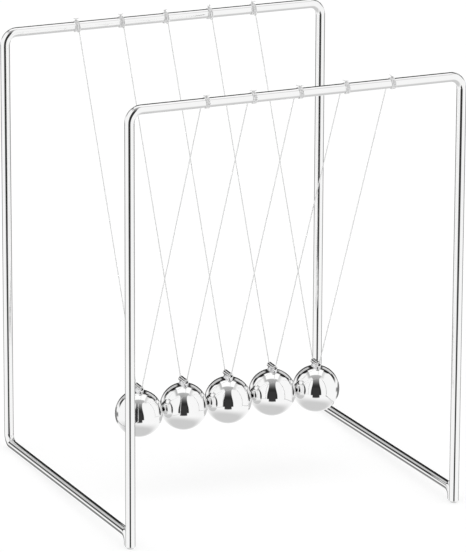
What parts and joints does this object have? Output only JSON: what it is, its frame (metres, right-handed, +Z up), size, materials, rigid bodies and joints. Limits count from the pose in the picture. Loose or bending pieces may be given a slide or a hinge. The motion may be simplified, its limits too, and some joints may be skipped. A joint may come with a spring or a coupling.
{
  "type": "newtons cradle",
  "caption": "Desk toy: a row of polished steel balls hung on V-shaped clear lines between two bent chrome rod hoops joined by side rails at the floor.",
  "frame": {"origin": "on the floor under the middle of the frame, halfway between the hoops and the legs", "axes": "+X along the row of balls, +Y from the front hoop to the back hoop, +Z up"},
  "size_m": [0.1412, 0.1362, 0.1775],
  "materials": {
    "frame_chrome": "polished",
    "weld_metal": "polished",
    "ball_steel": "mirror polished",
    "tube_chrome": "polished",
    "solder": "satin",
    "clear_line": "clear, glossy"
  },
  "bodies": {
    "frame": {"front_hoop": "frame_chrome", "back_hoop_with_rails": "frame_chrome", "left_weld": "weld_metal", "right_weld": "weld_metal", "front_tie_1": "clear_line", "back_tie_1": "clear_line", "front_tie_2": "clear_line", "back_tie_2": "clear_line", "front_tie_3": "clear_line", "back_tie_3": "clear_line", "front_tie_4": "clear_line", "back_tie_4": "clear_line", "front_tie_5": "clear_line", "back_tie_5": "clear_line"},
    "pendulum_1": {"ball_1": "ball_steel", "ball_tube_1": "tube_chrome", "solder_saddle_1": "solder", "hanging_line_1": "clear_line"},
    "pendulum_2": {"ball_2": "ball_steel", "ball_tube_2": "tube_chrome", "solder_saddle_2": "solder", "hanging_line_2": "clear_line"},
    "pendulum_3": {"ball_3": "ball_steel", "ball_tube_3": "tube_chrome", "solder_saddle_3": "solder", "hanging_line_3": "clear_line"},
    "pendulum_4": {"ball_4": "ball_steel", "ball_tube_4": "tube_chrome", "solder_saddle_4": "solder", "hanging_line_4": "clear_line"},
    "pendulum_5": {"ball_5": "ball_steel", "ball_tube_5": "tube_chrome", "solder_saddle_5": "solder", "hanging_line_5": "clear_line"}
  },
  "joints": [
    {"name": "pendulum_1_swing", "type": "hinge", "parent": "frame", "child": "pendulum_1", "pos_m": [-0.0384, 0, 0.1729], "axis": [0, 1, 0], "range_deg": [0, 60]},
    {"name": "pendulum_2_swing", "type": "hinge", "parent": "frame", "child": "pendulum_2", "pos_m": [-0.0192, 0, 0.1729], "axis": [0, 1, 0], "range_deg": [-0.08, 0.08]},
    {"name": "pendulum_3_swing", "type": "hinge", "parent": "frame", "child": "pendulum_3", "pos_m": [0, 0, 0.1729], "axis": [0, 1, 0], "range_deg": [-0.08, 0.08]},
    {"name": "pendulum_4_swing", "type": "hinge", "parent": "frame", "child": "pendulum_4", "pos_m": [0.0192, 0, 0.1729], "axis": [0, 1, 0], "range_deg": [-0.08, 0.08]},
    {"name": "pendulum_5_swing", "type": "hinge", "parent": "frame", "child": "pendulum_5", "pos_m": [0.0384, 0, 0.1729], "axis": [0, 1, 0], "range_deg": [-60, 0]}
  ]
}
